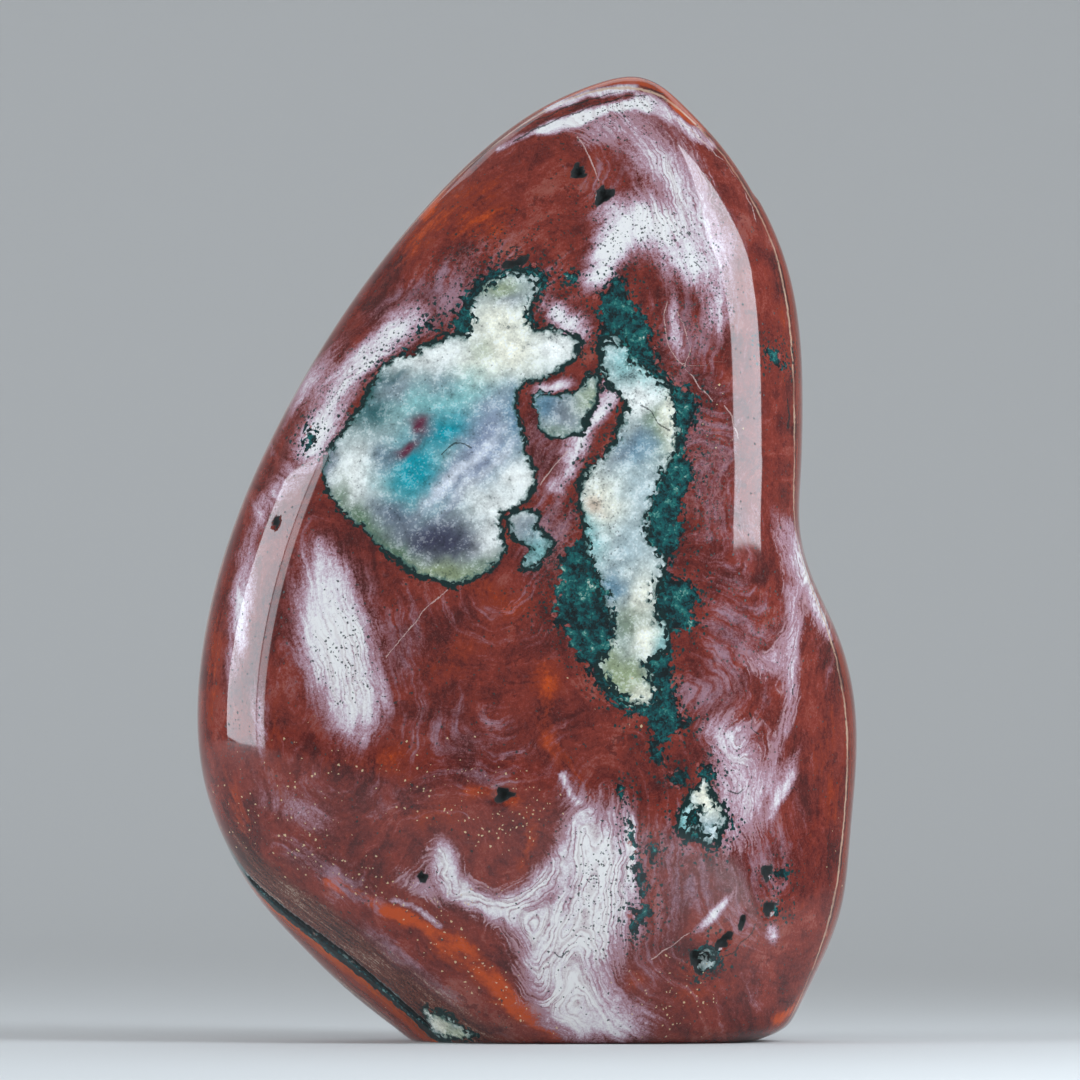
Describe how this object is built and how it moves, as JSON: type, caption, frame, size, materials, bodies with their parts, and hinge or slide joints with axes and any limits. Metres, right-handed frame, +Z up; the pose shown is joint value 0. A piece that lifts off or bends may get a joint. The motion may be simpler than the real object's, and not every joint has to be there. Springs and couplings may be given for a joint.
{
  "type": "polished ocean jasper freeform",
  "caption": "Polished natural stone ground to an asymmetric standing freeform with a domed face, rounded rim and a small flat foot it stands on.",
  "frame": {"origin": "on the ground that the stone stands on, under the middle of its overall width and depth", "axes": "+Z up from the foot to the peak; -Y is the way the broad patterned face looks; +X is to the right when facing it"},
  "size_m": [0.1232, 0.058, 0.18],
  "materials": {
    "polished_jasper": "mirror-polished brick-red jasper with white, mauve, orange and teal-green patches"
  },
  "bodies": {
    "root": {"stone": "polished_jasper"}
  },
  "joints": []
}
